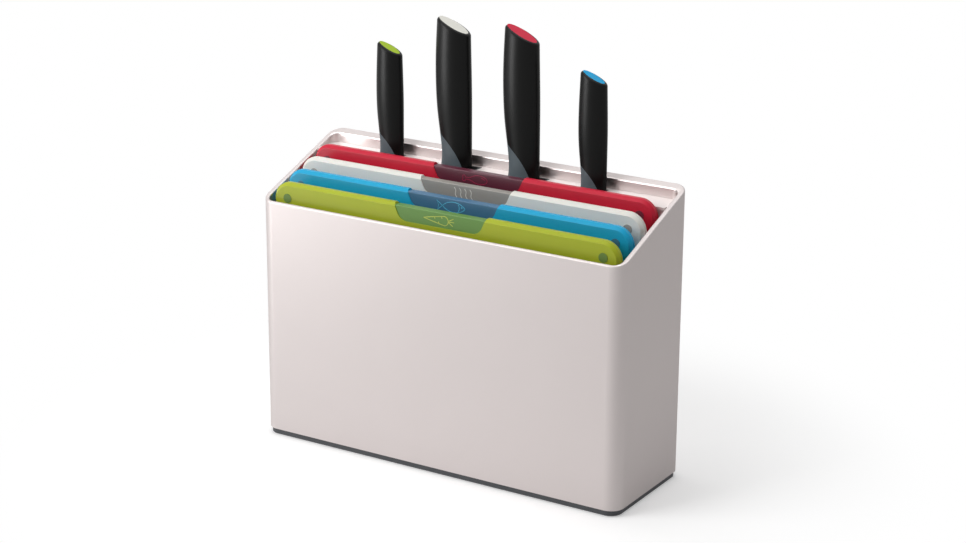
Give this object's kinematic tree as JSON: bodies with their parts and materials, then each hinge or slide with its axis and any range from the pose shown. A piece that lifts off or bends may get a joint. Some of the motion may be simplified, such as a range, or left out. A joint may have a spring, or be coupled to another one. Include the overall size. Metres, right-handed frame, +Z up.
{
  "type": "knife block with chopping boards",
  "caption": "Upright case with a sloping open top that stores colour-coded chopping boards on edge and kitchen knives in a slotted rear deck.",
  "frame": {"origin": "centre of the footprint, on the surface that the case stands on", "axes": "+X to the right along the boards, +Y to the rear where the knives stand, +Z up"},
  "size_m": [0.33, 0.106, 0.3484],
  "materials": {
    "case_metal": "satin",
    "tray_plastic": "matte",
    "screw_steel": "satin",
    "foot_rubber": "matte",
    "rack_plastic": "matte",
    "deck_plastic": "satin",
    "board_lime": "satin",
    "board_blue": "satin",
    "board_white": "satin",
    "board_red": "satin",
    "tab_lime": "satin",
    "tab_blue": "satin",
    "tab_white": "satin",
    "tab_red": "satin",
    "button_rubber": "matte",
    "blade_steel": "satin",
    "handle_black": "satin",
    "grip_slate": "matte",
    "cap_lime": "satin",
    "cap_white": "satin",
    "cap_red": "satin",
    "cap_blue": "satin"
  },
  "bodies": {
    "case": {"outer_case": "case_metal", "base_tray": "tray_plastic", "base_screws": "screw_steel", "foot_front_left": "foot_rubber", "foot_front_right": "foot_rubber", "foot_rear_left": "foot_rubber", "foot_rear_right": "foot_rubber", "board_rack": "rack_plastic", "side_guide_left": "deck_plastic", "side_guide_right": "deck_plastic", "bay_divider": "deck_plastic", "knife_deck": "deck_plastic", "paring_sheath": "rack_plastic", "bread_sheath": "rack_plastic", "chef_sheath": "rack_plastic", "fillet_sheath": "rack_plastic"},
    "lime_board": {"lime_board_panel": "board_lime", "lime_board_tab": "tab_lime", "lime_board_buttons": "button_rubber"},
    "blue_board": {"blue_board_panel": "board_blue", "blue_board_tab": "tab_blue", "blue_board_buttons": "button_rubber"},
    "white_board": {"white_board_panel": "board_white", "white_board_tab": "tab_white", "white_board_buttons": "button_rubber"},
    "red_board": {"red_board_panel": "board_red", "red_board_tab": "tab_red", "red_board_buttons": "button_rubber"},
    "paring_knife": {"paring_knife_blade": "blade_steel", "paring_knife_handle": "handle_black", "paring_knife_grip": "grip_slate", "paring_knife_end_cap": "cap_lime"},
    "bread_knife": {"bread_knife_blade": "blade_steel", "bread_knife_handle": "handle_black", "bread_knife_grip": "grip_slate", "bread_knife_end_cap": "cap_white"},
    "chef_knife": {"chef_knife_blade": "blade_steel", "chef_knife_handle": "handle_black", "chef_knife_grip": "grip_slate", "chef_knife_end_cap": "cap_red"},
    "fillet_knife": {"fillet_knife_blade": "blade_steel", "fillet_knife_handle": "handle_black", "fillet_knife_grip": "grip_slate", "fillet_knife_end_cap": "cap_blue"}
  },
  "joints": [
    {"name": "lime_board_lift", "type": "slide", "parent": "case", "child": "lime_board", "axis": [0, 0, 1], "range_m": [0, 0.212]},
    {"name": "blue_board_lift", "type": "slide", "parent": "case", "child": "blue_board", "axis": [0, 0, 1], "range_m": [0, 0.212]},
    {"name": "white_board_lift", "type": "slide", "parent": "case", "child": "white_board", "axis": [0, 0, 1], "range_m": [0, 0.212]},
    {"name": "red_board_lift", "type": "slide", "parent": "case", "child": "red_board", "axis": [0, 0, 1], "range_m": [0, 0.212]},
    {"name": "paring_knife_draw", "type": "slide", "parent": "case", "child": "paring_knife", "axis": [0, 0, 1], "range_m": [0, 0.115]},
    {"name": "bread_knife_draw", "type": "slide", "parent": "case", "child": "bread_knife", "axis": [0, 0, 1], "range_m": [0, 0.225]},
    {"name": "chef_knife_draw", "type": "slide", "parent": "case", "child": "chef_knife", "axis": [0, 0, 1], "range_m": [0, 0.19]},
    {"name": "fillet_knife_draw", "type": "slide", "parent": "case", "child": "fillet_knife", "axis": [0, 0, 1], "range_m": [0, 0.19]}
  ]
}
